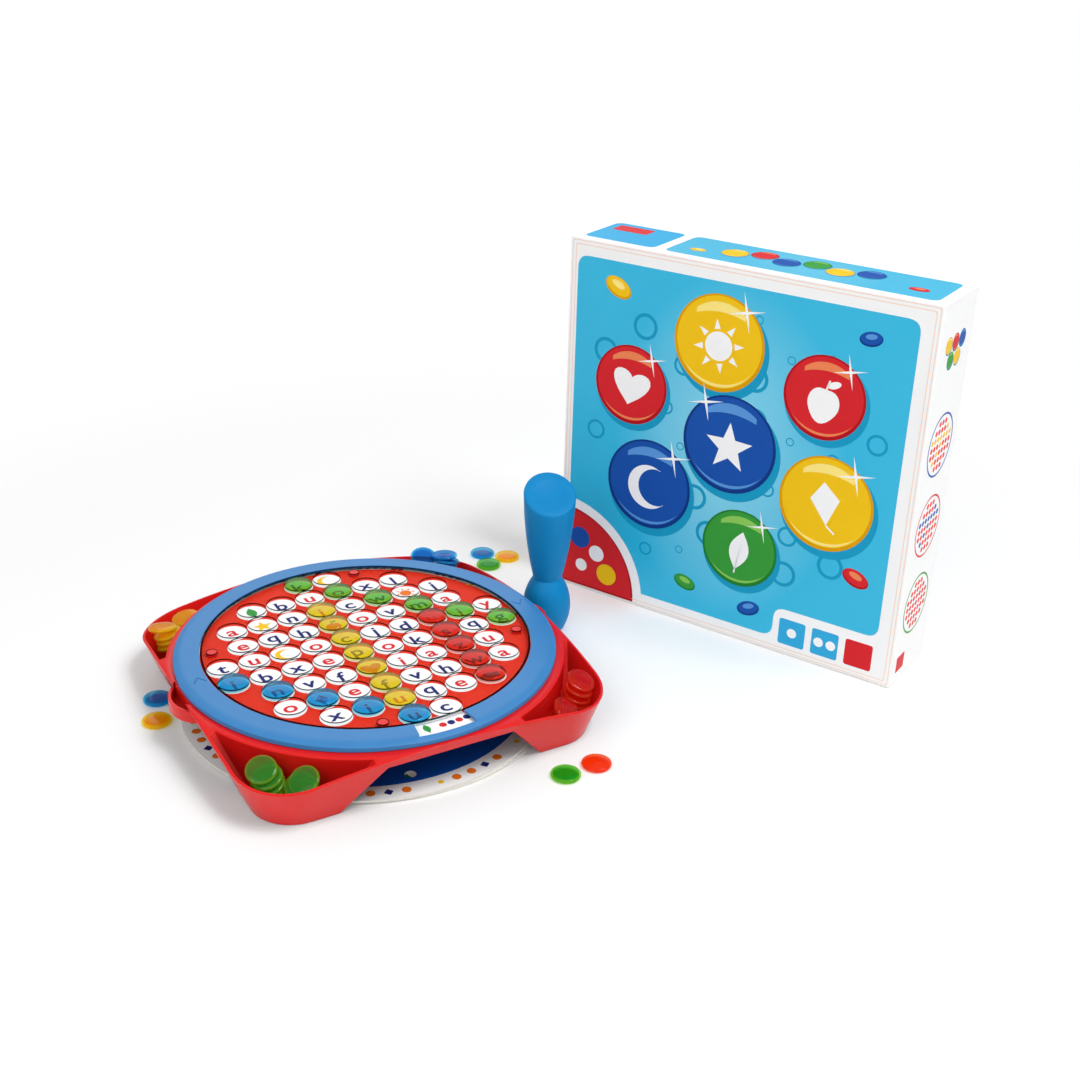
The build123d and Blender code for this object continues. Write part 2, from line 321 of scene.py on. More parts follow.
# Keeps the light on large faces even next to their rounded edges
def evenNormals(piece):
    modifier = piece.modifiers.new("even normals", "WEIGHTED_NORMAL")
    modifier.keep_sharp = True


# Tray
tray = dict(colour="#E31714", shade="#DA1210", roughness=0.3, mirror=0.35, neutral=0.75,
            edge=0.45, merge=0.12,
            climb=12.0, tip=1.8)
trayRed = mouldedPlastic("red ABS, moulded, semi-gloss", tray["colour"], tray["shade"], tray["roughness"],
                         tray["mirror"], neutral=tray["neutral"])
trayMesh = softenedCopy("base_tray", tray["edge"], tray["merge"], climb=tray["climb"],
                        climbRadius=tray["tip"])
evenNormals(addPiece("tray_shell", trayMesh, trayRed, "board_tray", ["base_tray"]))
print("tray done")

# Turning ring
ring = dict(colour="#3A84C2", shade="#347CBA", roughness=0.4, mirror=0.4, edge=0.35, merge=0.05)
ringBlue = mouldedPlastic("blue ABS, moulded, satin", ring["colour"], ring["shade"], ring["roughness"],
                          ring["mirror"])
ringMesh = softenedCopy("turn_ring", ring["edge"], ring["merge"])
evenNormals(addPiece("ring_shell", ringMesh, ringBlue, "turn_ring", ["turn_ring"]))
print("ring done")

# Letter board: lattice of cells with letters in a chance order, and in some cells the number of a picture
board = dict(pitch=21.0, discRadius=10.1, letterSize=15.2, letterWidth=1.1, letterWeight=0.02, picture=7.0,
             pegHole=3.7, socketRadius=9.85,
             rows=["k5", "1buoxl", "a2nicw3j", "eqh4ovma", "tu5ocjduiy", "ibxepoksqg", "nvf6iazu", "o7efvhwa",
                   "xiuqe8", "uc"])
pegCells = [(1.5, 4.5), (4.5, -1.5), (-1.5, -4.5), (-4.5, 1.5)]

# Prints lie in thin layers just above the paper and end a little short of a card's cut edge
printing = dict(layer=0.018, thick=0.0162, lift=0.005, edge=0.2)


def boardCells():
    rows = board["rows"]
    for row, marks in enumerate(rows):
        for column, mark in enumerate(marks):
            x = (column - (len(marks) - 1) / 2) * board["pitch"]
            y = ((len(rows) - 1) / 2 - row) * board["pitch"]
            yield x, y, mark


def pegLoops():
    return [circle(board["pegHole"], 28, x * board["pitch"], y * board["pitch"]) for x, y in pegCells]


# Small generic pictures, each a list of ink and outline about 2 units across
def leafPicture():
    half = [(math.sin(math.pi * k / 14) * 0.5, -1 + k / 7) for k in range(15)]
    stem = [(-0.04, -1.2), (0.04, -1.2), (0.04, 0.6)]
    return [("green", half + [(-x, y) for x, y in half[-2:0:-1]]), ("navy", stem)]


def starPicture():
    return [("yellow", [onCircle(1.0 if k % 2 == 0 else 0.42, 90 + 36 * k) for k in range(10)])]


def sunPicture():
    rays = [moved([(0.68, -0.13), (1.08, 0.0), (0.68, 0.13)], 0, 0, 1.0, 45 * k) for k in range(8)]
    return [("orange", circle(0.58, 28))] + [("orange", ray) for ray in rays]


def applePicture():
    body = []
    for k in range(36):
        angle = 2 * math.pi * k / 36
        reach = 0.8 - 0.16 * math.sin(angle) ** 7 - 0.06 * abs(math.cos(angle))
        body.append((reach * math.cos(angle), reach * math.sin(angle) - 0.12))
    return [("red", body), ("green", moved(circle(0.32, 16, squash=0.5), 0.3, 0.82, 1.0, 30)),
            ("navy", [(-0.05, 0.5), (0.04, 0.5), (0.1, 0.95), (0.02, 0.98)])]


def moonPicture():
    return [("yellow", arc(0.95, 50, 310, 26) + arc(0.8, 292, 68, 20, 0.34))]


def heartPicture():
    points = []
    for k in range(36):
        t = 2 * math.pi * k / 36
        height = (13 * math.cos(t) - 5 * math.cos(2 * t) - 2 * math.cos(3 * t)) / 16 + 0.1
        points.append((math.sin(t) ** 3, height))
    return [("red", points)]


def kitePicture():
    return [("cyan", [(0, 1), (-0.6, 0.3), (0, 0.3)]), ("red", [(0, 1), (0, 0.3), (0.6, 0.3)]),
            ("red", [(-0.6, 0.3), (0, -0.75), (0, 0.3)]), ("cyan", [(0, 0.3), (0, -0.75), (0.6, 0.3)]),
            ("navy", [(-0.04, -0.75), (0.3, -1.1), (0.36, -1.06), (0.04, -0.75)])]


def cloudPicture():
    points = []
    for k in range(60):
        angle = 2 * math.pi * k / 60
        reach = 0.74 + 0.2 * abs(math.sin(2.5 * angle))
        points.append((reach * 1.1 * math.cos(angle), reach * 0.62 * math.sin(angle)))
    return [("cyan", points)]


pictures = [leafPicture(), starPicture(), sunPicture(), applePicture(), moonPicture(), heartPicture(),
            kitePicture(), cloudPicture()]

inks = {
    "white": printedPaper("coated paper, white", "#FBFBFB", "#F0F1F2"),
    "navy": printedPaper("navy ink on paper", "#1B2368", "#232C78"),
    "red": printedPaper("red ink on paper", "#DC2A31", "#CB2029"),
    "green": printedPaper("green ink on paper", "#3C9E3E", "#318F37"),
    "yellow": printedPaper("yellow ink on paper", "#F6C81E", "#EDB810"),
    "orange": printedPaper("orange ink on paper", "#EE7A22", "#E26C17"),
    "cyan": printedPaper("sky-blue ink on paper", "#38AEE0", "#2B9FD4"),
    "blue": printedPaper("deep blue ink on paper", "#0E56BC", "#0B4BAC"),
    "coral": printedPaper("orange-red ink on paper", "#EB3117", "#E32B13"),
    "leaf": printedPaper("leaf-green ink on paper", "#118A3A", "#0D7B33"),
}


# The prints on one face, as thin flats that become one piece for each ink and layer
class PrintRun:
    def __init__(self, name, place, surface, body, slot):
        self.name, self.place, self.body, self.slot = name, place, body, slot
        self.low = surface + printing["lift"]
        self.flats = {}

    def flat(self, ink, loops, layer):
        low = self.low + layer * printing["layer"]
        mesh = sheet(loops, low, low + printing["thick"], self.place)
        self.flats.setdefault((ink, layer), []).append(mesh)

    def picture(self, number, x, y, size, layer, turn=0.0, ink=None):
        for k, (own, loop) in enumerate(pictures[number]):
            self.flat(ink or own, [moved(loop, x, y, size, turn)], layer + (k > 0))

    def letter(self, mark, x, y, layer):
        ink = "red" if mark in "aeiouy" else "navy"
        mesh = letterMesh(mark, x, y, self.low + layer * printing["layer"], self.place)
        self.flats.setdefault((ink, layer), []).append(mesh)

    def finish(self):
        for (ink, layer), meshes in self.flats.items():
            mesh = joinMeshes(self.name, meshes)
            addPiece(f"{self.name}_{ink}_{layer}", mesh, inks[ink], self.body)


def letterMesh(mark, x, y, low, place):
    text = bpy.data.curves.new("letter", "FONT")
    text.body = mark
    text.size = board["letterSize"] * mm
    text.align_x = "CENTER"
    text.align_y = "CENTER"
    text.offset = board["letterSize"] * mm * board["letterWeight"]
    mesh = curveMesh(text, low, low + printing["thick"], Matrix.Diagonal((board["letterWidth"], 1, 1, 1)))
    ends = [(min(v.co[k] for v in mesh.vertices), max(v.co[k] for v in mesh.vertices)) for k in range(2)]
    shift = [spot * mm - sum(end) / 2 for spot, end in zip((x, y), ends)]
    mesh.transform(place @ Matrix.Translation((*shift, 0)))
    return mesh


cardLow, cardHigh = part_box("letter_card")
cardTop = cardHigh.z / mm
cardRadius = (cardHigh.x - cardLow.x) / 2 / mm
prints = PrintRun("letter_card", onBoard, cardTop, "letter_card", "letter_print")
windowRadius = 107.5
prints.flat("coral", [circle(windowRadius, 120)] + pegLoops(), 0)
prints.flat("white", [circle(cardRadius - printing["edge"], 120), circle(windowRadius, 120)], 0)
for x, y, mark in boardCells():
    prints.flat("white", [circle(board["discRadius"], 36, x, y)], 2)
    if mark.isdigit():
        prints.picture(int(mark) - 1, x, y, board["picture"], 3)
    else:
        prints.letter(mark, x, y, 3)

# Rim of the card: a picture and a row of dots for each round, seen one at a time in the ring's window
rim = dict(stops=12, start=-90.0, radius=110.6, picture=4.6, pictureTurn=5.2, dot=2.4, dots=4, dotTurn=0.2,
           spread=2.9, tab=101.0, tabHalf=9.5, tabOverlap=0.5)
tabEnds = [rim["start"] - rim["tabHalf"], rim["start"] + rim["tabHalf"]]
tabOuter = windowRadius + rim["tabOverlap"]
prints.flat("white", [arc(rim["tab"], *tabEnds, 12) + arc(tabOuter, *tabEnds[::-1], 12)], 1)
for stop in range(rim["stops"]):
    angle = rim["start"] + 360 * stop / rim["stops"]
    x, y = onCircle(rim["radius"], angle - rim["pictureTurn"])
    prints.picture(stop % len(pictures), x, y, rim["picture"], 2, angle + 90)
    for k in range(rim["dots"]):
        x, y = onCircle(rim["radius"], angle + rim["dotTurn"] + k * rim["spread"])
        prints.flat("red" if k % 2 == 0 else "navy", [circle(rim["dot"], 20, x, y)], 2)
prints.finish()


# Grey board with its print on top: only the cut edge and the underside of this piece show
greyBoard = printedPaper("white-lined board, cut edge", "#E6E3DC", "#D9D5CC", roughness=0.8, fibre=0.5)
for node in ("letter_card", "spare_card_lower", "spare_card_upper"):
    slots = frame["nodes"][node].data.materials
    slots.clear()
    slots.append(greyBoard)
print("letter card done")

# Clear plate: top sheet with sockets, thin floor, and painted shade: dark lines where the socket walls are seen
# edge on
plate = dict(top=42.2, floor=40.5, low=39.7, gap=0.02, radius=107.0, bead=42.8, beadWidth=1.2,
             lip=0.8, wall=0.12,
             wallTop=0.05, veil="#FEFEFE", wallPaintedDark="#5A6064", beadPaintedDark="#A4ACB0")
clearSheet = clearPlastic("clear polystyrene, moulded", plate["veil"])
paintedDarkWall = clearPlastic("clear polystyrene, painted dark where seen edge on", plate["wallPaintedDark"])
paintedDarkBead = clearPlastic("clear polystyrene, bead, painted dark", plate["beadPaintedDark"])
sockets = [circle(board["socketRadius"], 32, x, y) for x, y, mark in boardCells()]
topLoops = [circle(plate["radius"], 128)] + sockets + pegLoops()
floorLoops = [circle(cardRadius, 128)] + pegLoops()
plateMeshes = [sheet(topLoops, plate["floor"], plate["top"], onBoard),
               sheet(floorLoops, plate["low"], plate["floor"] - plate["gap"], onBoard)]
addPiece("plate_sheet", joinMeshes("plate_sheet", plateMeshes), clearSheet, "grid_plate",
         ["grid_plate"])


def wallBand(radius, low, high, thick, sides, place):
    inner = radius - thick
    return turned([(radius, low), (radius, high), (inner, high), (inner, low), (radius, low)], sides, place)


def paintedWallLine(radius, x, y, sides):
    spot = onBoard @ Matrix.Translation((x * mm, y * mm, 0))
    low, high = plate["top"] - plate["lip"], plate["top"] - plate["wallTop"]
    return wallBand(radius, low, high, plate["wall"], sides, spot)


# Thin bands inside each socket and peg hole carry a dark veil: painted shade for the walls' dark edges
paintedWallMeshes = [paintedWallLine(board["socketRadius"], x, y, 32) for x, y, mark in boardCells()]
paintedWallMeshes += [paintedWallLine(board["pegHole"], x * board["pitch"], y * board["pitch"], 24) for x, y in pegCells]
addPiece("plate_wall_painted_lines", joinMeshes("plate_wall_painted_lines", paintedWallMeshes), paintedDarkWall, "grid_plate")
# The bead's grey veil is painted shade: a dark line along the plate's rim
beadMesh = wallBand(plate["radius"], plate["top"], plate["bead"], plate["beadWidth"], 128, onBoard)
addPiece("plate_bead", beadMesh, paintedDarkBead, "grid_plate")
print("clear plate done")

# Tokens: domed see-through discs, each laid in the place of its CAD token
token = dict(radius=9.5, half=1.7, edge=0.2, fillet=1.4, dome=4, sides=40, rings=9, flat=0.05)
# Tint and pigment of the middle by what lies under the token, then of the rim. They are painted light too:
# the same plastic is lighter and hazier in the bins, against the shade there.
tokenTintsByPlaceAndLight = {
    "board": dict(under="over the white discs", scatter=0.27, green=("#D2F5B8", "#56BC3C"),
                  yellow=("#FFF6AC", "#FFDA1C"), red=("#FF9C8E", "#DC2A20"), blue=("#A8E2F8", "#2290D4")),
    "bin": dict(under="in a heap", scatter=0.36, green=("#C4EBB0", "#48A536"),
                yellow=("#FFF4A8", "#FFCE1A"), red=("#FFA094", "#E2281C"), blue=("#52A8E4", "#0A5AAA")),
    "table": dict(under="over the table", scatter=0.3, green=("#7CE489", "#0E8A22"),
                  yellow=("#FFE350", "#FF9C08"), red=("#FFB37C", "#F43408"), blue=("#6CCFED", "#0A66AC")),
}
# Rim tint and pigment: lighter where the rim is thin, and brighter as painted light gathered in the rim
tokenRimsAndGlow = dict(green=("#D8F0A0", "#8CC028"), yellow=("#FFF8A0", "#FFE418"), red=("#FFA890", "#F03A14"),
                 blue=("#95F3FF", "#18A4F0"))
tokenInks = {}
for group, settings in tokenTintsByPlaceAndLight.items():
    for colour, rimTintsAndGlow in tokenRimsAndGlow.items():
        name = f"polystyrene, clear {colour}, {settings['under']}"
        tokenInks[group, colour] = tintedPlastic(name, *settings[colour], *rimTintsAndGlow, settings["scatter"])


def tokenProfile():
    radius, half, fillet = token["radius"], token["half"], token["fillet"]
    profile = [(0.0, -half), (radius - fillet, -half)]
    for angle in (30, 60, 90):
        across, up = onCircle(fillet, angle - 90)
        profile.append((radius - fillet + across, fillet - half + up))
    for k in range(token["rings"], -1, -1):
        share = math.sin(math.pi / 2 * k / token["rings"])
        lift = token["edge"] + (half - token["edge"]) * (1 - share ** token["dome"]) ** 0.5
        profile.append((radius * share, lift))
    return profile


# The token's flat underside is its largest face. Its normal and middle give the place.
def tokenPlace(node):
    mesh = frame["nodes"][node].data
    areas = {}
    for face in mesh.polygons:
        key = tuple(round(v, 2) for v in face.normal)
        areas[key] = areas.get(key, 0.0) + face.area
    down = Vector(max(areas, key=areas.get)).normalized()
    reach = max(vertex.co.dot(down) for vertex in mesh.vertices)
    base = [vertex.co for vertex in mesh.vertices if reach - vertex.co.dot(down) < token["flat"] * mm]
    middle = Vector([(min(p[k] for p in base) + max(p[k] for p in base)) / 2 for k in range(3)])
    middle -= down * token["half"] * mm
    return Matrix.Translation(middle) @ Vector((0, 0, 1)).rotation_difference(-down).to_matrix().to_4x4()


profile = tokenProfile()
for body, members in frame["record"]["behaviour"]["bodies"].items():
    for node in members:
        if "_token_" in node:
            words = node.split("_")
            colour = next(name for name in tokenRimsAndGlow if name in words)
            mesh = turned(profile, token["sides"], tokenPlace(node))
            addPiece(node + "_lens", mesh, tokenInks[words[0], colour], body, [node])

# More tokens lie on the two stacks in each bin: the token below, how far out and along the wall, the layer
# above it, and the sideways and outward tip in degrees
heap = dict(layer=4.05, tokens={
    "green": [(3, 0.6, -0.8, 1.05, 3, 2), (3, 1.6, -3.6, 2.3, -9, 8),
              (5, 1.0, 0.6, 1.2, -4, 3), (5, 2.0, 3.4, 2.5, 10, 6)],
    "red": [(3, 0.8, 0.8, 1.05, -3, 0), (3, 1.6, 3.0, 2.3, 9, 4), (5, 0.8, -0.8, 1.2, 5, 3)],
    "yellow": [(3, 0.8, 0.8, 1.15, -5, -4), (5, 0.8, -0.6, 1.25, 4, -6),
               (5, 1.6, -3.0, 2.5, -8, -22), (3, 2.4, 3.6, 2.55, 10, -16)],
    "blue": [(3, 0.8, -0.6, 1.0, 2, -2), (3, 1.2, 0.8, 2.0, -3, -4),
             (3, 1.8, -1.0, 3.0, 3, -8), (3, 1.4, 0.6, 4.0, -4, -14),
             (5, 0.8, 0.8, 1.1, -3, -3), (5, 1.0, 1.8, 2.15, 3, -6),
             (5, 1.6, 0.4, 3.2, -4, -10), (5, 0.6, -2.4, 4.6, 8, -46)],
})


def heapPlace(node, out, along, layer, tip, pitch):
    below = tokenPlace(node)
    radial = below.translation - boardCentre
    radial.z = 0
    radial.normalize()
    aside = Vector((-radial.y, radial.x, 0))
    spot = below.translation + (radial * out + aside * along + Vector((0, 0, layer * heap["layer"]))) * mm
    lean = Matrix.Rotation(math.radians(tip), 4, radial) @ Matrix.Rotation(math.radians(pitch), 4, aside)
    return Matrix.Translation(spot) @ lean @ below.to_3x3().to_4x4()


for colour, tokens in heap["tokens"].items():
    for k, (below, *settings) in enumerate(tokens):
        place = heapPlace(f"bin_token_{colour}_{below}", *settings)
        mesh = turned(profile, token["sides"], place)
        name = f"heap_token_{colour}_{k + 1}"
        addPiece(name, mesh, tokenInks["bin", colour], colour + "_pile")
print("tokens done")

# Totem: turned bulb and stem with a slanted dished head
totem = dict(foot=12.0, bulb=17.0, bulbHeight=16.0, waist=10.2, waistHeight=41.0, stem=15.0, stemHeight=66.0,
             head=18.4, headHeight=106.0, slant=26.0, facing=-112.0, dish=2.0, dishRadius=12.5, dishRings=6,
             lip=1.2, lipRound=0.35, footEdge=1.0, footRound=0.3, sides=64, tip=0.01, merge=0.05, near=0.01,
             colour="#0086C4", shade="#007EBB", roughness=0.5, mirror=0.2, grain=0.9)
totemBlue = mouldedPlastic("blue polypropylene, moulded, matt", totem["colour"], totem["shade"],
                           totem["roughness"], totem["mirror"], grain=totem["grain"])


def arcThrough(a, b, c, count):
    (ax, ay), (bx, by), (cx, cy) = a, b, c
    d = 2 * (ax * (by - cy) + bx * (cy - ay) + cx * (ay - by))
    na, nb, nc = ax * ax + ay * ay, bx * bx + by * by, cx * cx + cy * cy
    x = (na * (by - cy) + nb * (cy - ay) + nc * (ay - by)) / d
    y = (na * (cx - bx) + nb * (ax - cx) + nc * (bx - ax)) / d
    first, last = math.degrees(math.atan2(ay - y, ax - x)), math.degrees(math.atan2(cy - y, cx - x))
    return arc(math.hypot(ax - x, ay - y), first, last, count, x, y)


def totemMesh():
    bulb = arcThrough((totem["foot"], 0), (totem["bulb"], totem["bulbHeight"]),
                      (totem["waist"], totem["waistHeight"]), 16)
    stem = arcThrough((totem["waist"], totem["waistHeight"]), (totem["stem"], totem["stemHeight"]),
                      (totem["head"], totem["headHeight"]), 14)
    outline = [(0.0, 0.0), (totem["foot"] - totem["footEdge"], 0.0),
               (totem["foot"] - totem["footRound"], totem["footRound"])] + bulb[1:] + stem[1:-3]
    # The last rings climb from the stem to the slanted head, round its lip and dip into the dish
    head = [(totem["head"], -totem["lip"]), (totem["head"] - totem["lipRound"], -totem["lipRound"]),
            (totem["head"] - totem["lip"], 0.0), (totem["dishRadius"], 0.0)]
    for k in range(1, totem["dishRings"] + 1):
        share = 1 - k / totem["dishRings"]
        head.append((totem["dishRadius"] * share, -totem["dish"] * (1 - share ** 2)))
    slope = math.tan(math.radians(totem["slant"]))
    stations = [(radius, height, 0.0) for radius, height in outline]
    stations += [(radius, totem["headHeight"] + drop, slope) for radius, drop in head]
    shape = bmesh.new()
    rings = []
    for radius, height, fall in stations:
        points = circle(max(radius, totem["tip"]), totem["sides"])
        rings.append([shape.verts.new((x * mm, y * mm, (height - x * fall) * mm)) for x, y in points])
    for lower, upper in zip(rings, rings[1:]):
        for k in range(totem["sides"]):
            after = (k + 1) % totem["sides"]
            shape.faces.new((lower[k], lower[after], upper[after], upper[k]))
    bmesh.ops.remove_doubles(shape, verts=shape.verts, dist=totem["merge"] * mm)
    for face in shape.faces:
        face.smooth = True
    for edge in shape.edges:
        heights = [vertex.co.z / mm for vertex in edge.verts]
        edge.smooth = not all(abs(height - totem["waistHeight"]) < totem["near"] for height in heights)
    mesh = bpy.data.meshes.new("totem")
    shape.to_mesh(mesh)
    shape.free()
    foot = [vertex.co for vertex in frame["nodes"]["totem"].data.vertices if vertex.co.z < 0.5 * mm]
    middle = [(min(p[k] for p in foot) + max(p[k] for p in foot)) / 2 for k in range(2)]
    mesh.transform(Matrix.Translation((*middle, 0)) @ Matrix.Rotation(math.radians(totem["facing"]), 4, "Z"))
    return mesh


addPiece("totem_form", totemMesh(), totemBlue, "totem", ["totem"])
print("totem done")

# Spare cards in the hollow under the tray: field and white rim with small marks
spares = {
    "spare_card_lower": dict(field="leaf", turn=-12.0, discs=True, slot="green_print"),
    "spare_card_upper": dict(field="blue", turn=-80.0, discs=False, slot="blue_print"),
}
spareRim = dict(marks=66, radius=114.3, dot=3.0, small=1.9, square=2.3)
for node, settings in spares.items():
    low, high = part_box(node)
    place = Matrix.Translation(((low.x + high.x) / 2, (low.y + high.y) / 2, 0))
    place = place @ Matrix.Rotation(math.radians(settings["turn"]), 4, "Z")
    run = PrintRun(node, place, high.z / mm, node, settings["slot"])
    run.flat(settings["field"], [circle(windowRadius, 120)] + pegLoops(), 0)
    run.flat("white", [circle(cardRadius - printing["edge"], 120), circle(windowRadius, 120)], 0)
    for k in range(spareRim["marks"]):
        x, y = onCircle(spareRim["radius"], 360 * k / spareRim["marks"])
        kind = k % 6
        if kind in (0, 2, 5):
            run.flat("orange", [circle(spareRim["dot"], 16, x, y)], 1)
        elif kind == 1:
            run.flat("navy", [moved(circle(spareRim["square"] * 1.4, 4, turn=math.pi / 4), x, y, 1.0, 30)], 1)
        elif kind == 4:
            run.flat("yellow", [circle(spareRim["small"], 14, x, y)], 1)
    for x, y, mark in boardCells() if settings["discs"] else []:
        run.flat("white", [circle(board["discRadius"], 28, x, y)], 1)
        if not mark.isdigit():
            run.letter(mark, x, y, 2)
    run.finish()
print("spare cards done")

# Box lid: white wrap with a sky-blue panel, round tokens with small pictures and plain corner fields
lid = dict(side=270.0, depth=60.0, corner=9.0, quarter=64.0, band=7.5)
inks["skyDark"] = printedPaper("sky-blue ink, deeper", "#1C9CC6", "#1594BE")
inks["peach"] = printedPaper("peach ink, thin line", "#F9DDCC", "#F6D3BF")
inks["redDark"] = printedPaper("red ink, deeper", "#B3151F", "#A51019")
inks["yellowDark"] = printedPaper("yellow ink, deeper", "#DFA106", "#D49502")
inks["royalDark"] = printedPaper("royal blue ink, deeper", "#123A86", "#0F327A")
inks["greenDark"] = printedPaper("green ink, deeper", "#237F2E", "#1D7428")
inks["royal"] = printedPaper("royal blue ink on paper", "#1C55AE", "#174BA0")
inks["redLight"] = printedPaper("red ink, lighter", "#F08A5A", "#EC7B4B")
inks["yellowLight"] = printedPaper("yellow ink, lighter", "#FFE98A", "#FFE272")
inks["royalLight"] = printedPaper("royal blue ink, lighter", "#5E9ADB", "#5290D5")
inks["greenLight"] = printedPaper("green ink, lighter", "#8ECB5E", "#82C350")


# The panel's ink: a light glow in the middle that runs out to a full sky blue
def skyInk(name):
    material = newMaterial(name)
    place = addNode(material, "ShaderNodeTexCoord").outputs["Generated"]
    centre = addNode(material, "ShaderNodeVectorMath", {0: place, 1: (0.5, 0.5, 0.52)}, operation="DISTANCE")
    glow = addNode(material, "ShaderNodeValToRGB", {"Fac": centre.outputs["Value"]})
    glow.color_ramp.elements[0].color = linear("#8EDAF0")
    glow.color_ramp.elements[1].color = linear("#26B6E0")
    glow.color_ramp.elements[1].position = 0.5
    patches = noise(material, 40, 3.0)
    tone = mixColours(material, patches, glow.outputs["Color"], linear("#C4C4C4"), blend_type="SOFT_LIGHT")
    skin = addNode(material, "ShaderNodeBsdfPrincipled", {
        "Base Color": tone, "Roughness": 0.35, "IOR": 1.5, "Specular IOR Level": 0.3, "Coat Weight": 0.2,
        "Coat Roughness": 0.1})
    return finishMaterial(material, skin.outputs["BSDF"])


inks["sky"] = skyInk("sky-blue ink on coated paper, lighter in the middle")


cornerSteps = 5


# Rounds the corners of an outline by short curves of one reach
def rounded(points, reach):
    loop = []
    for k, corner in enumerate(points):
        corner = Vector(corner)
        before, after = Vector(points[k - 1]) - corner, Vector(points[(k + 1) % len(points)]) - corner
        first = corner + before.normalized() * min(reach, before.length / 2)
        last = corner + after.normalized() * min(reach, after.length / 2)
        for step in range(cornerSteps + 1):
            t = step / cornerSteps
            loop.append(tuple(first * (1 - t) ** 2 + corner * 2 * t * (1 - t) + last * t ** 2))
    return loop


def frameRectangle(x0, y0, x1, y1, reach):
    return rounded([(x0, y0), (x1, y0), (x1, y1), (x0, y1)], reach)


pull = next(joint for joint in frame["joints"] if joint["name"] == "box_tray_pull")
back = Vector(pull["axis"]).normalized()
across = Vector((back.y, -back.x, 0))
upward = Vector((0, 0, 1))
lidPoints = [vertex.co for vertex in frame["nodes"]["box_lid"].data.vertices]
lidCorner = across * min(p.dot(across) for p in lidPoints) + back * min(p.dot(back) for p in lidPoints)


def lidFace(origin, x, y):
    columns = (x, y, x.cross(y), origin)
    return Matrix([[column[k] for column in columns] for k in range(3)] + [[0, 0, 0, 1]])


side, depth = lid["side"] * mm, lid["depth"] * mm
lidFaces = {
    "front": lidFace(lidCorner, across, upward),
    "right": lidFace(lidCorner + across * side, back, upward),
    "left": lidFace(lidCorner + back * depth, -back, upward),
    "top": lidFace(lidCorner + upward * side, across, back),
}


# A printed round token: shadow, dark rim, colour, highlight and a white picture
def printedToken(run, colour, x, y, radius, layer, picture=None, turn=0.0):
    run.flat("skyDark", [circle(radius * 1.04, 48, x + radius * 0.07, y - radius * 0.12)], layer)
    run.flat(colour + "Dark", [circle(radius, 48, x, y)], layer + 1)
    run.flat(colour, [circle(radius * 0.94, 48, x, y + radius * 0.02)], layer + 2)
    shine = arc(radius * 0.84, 50, 130, 14, x, y) + arc(radius * 1.5, 111, 69, 10, x, y - radius * 0.86)
    glint = arc(radius * 0.9, 215, 325, 18, x, y) + arc(radius * 1.02, 316, 224, 14, x, y + radius * 0.18)
    run.flat(colour + "Light", [shine], layer + 3)
    run.flat(colour + "Light", [glint], layer + 3)
    if picture is not None:
        for own, loop in pictures[picture]:
            run.flat("white", [moved(loop, x, y - radius * 0.06, radius * 0.52, turn)], layer + 4)


def sparkle(run, x, y, size, layer):
    points = [onCircle(size if k % 2 == 0 else size * 0.1, 45 * k + 12) for k in range(8)]
    run.flat("white", [moved(points, x, y)], layer)


# A token seen at a slant: dark rim, colour and highlight, each smaller, flatter and higher than the last
def smallToken(run, colour, x, y, size, turn, layer):
    ovals = ((colour + "Dark", 1.0, 28, 0.62, 0.0), (colour, 0.92, 28, 0.58, 0.08),
             (colour + "Light", 0.5, 20, 0.45, 0.2))
    for k, (ink, share, count, squash, rise) in enumerate(ovals):
        oval = circle(size * share, count, squash=squash)
        run.flat(ink, [moved(oval, x, y + size * rise, 1.0, turn)], layer + k)


# The front's blue panel with its notch, the ring of tokens and their pictures, and small tokens round them
panel = dict(left=6.5, right=257.0, low=11.0, high=258.0, notch=(180.0, 35.0), corner=(1.5, 2.0), start=120.0,
             middle=(134.0, 146.0), centreSize=35.5, sizes=(34.0, 29.0), reaches=(71.0, 76.0), widen=1.12,
             ring=(("yellow", 2), ("red", 5), ("royal", 4), ("green", 0), ("yellow", 6), ("red", 3)),
             loose=(("yellow", 40, 240, 11, -25), ("royal", 226, 240, 8, 10), ("red", 236, 74, 10, -20),
                    ("green", 108, 32, 9, -15), ("royal", 160, 27, 9, 20)))
# Bubbles wind out from the middle by the golden angle
bubbles = dict(count=46, turn=137.50775, spread=17.0, x=132, y=142, size=3.0, step=2.2, hole=0.74, clear=14)


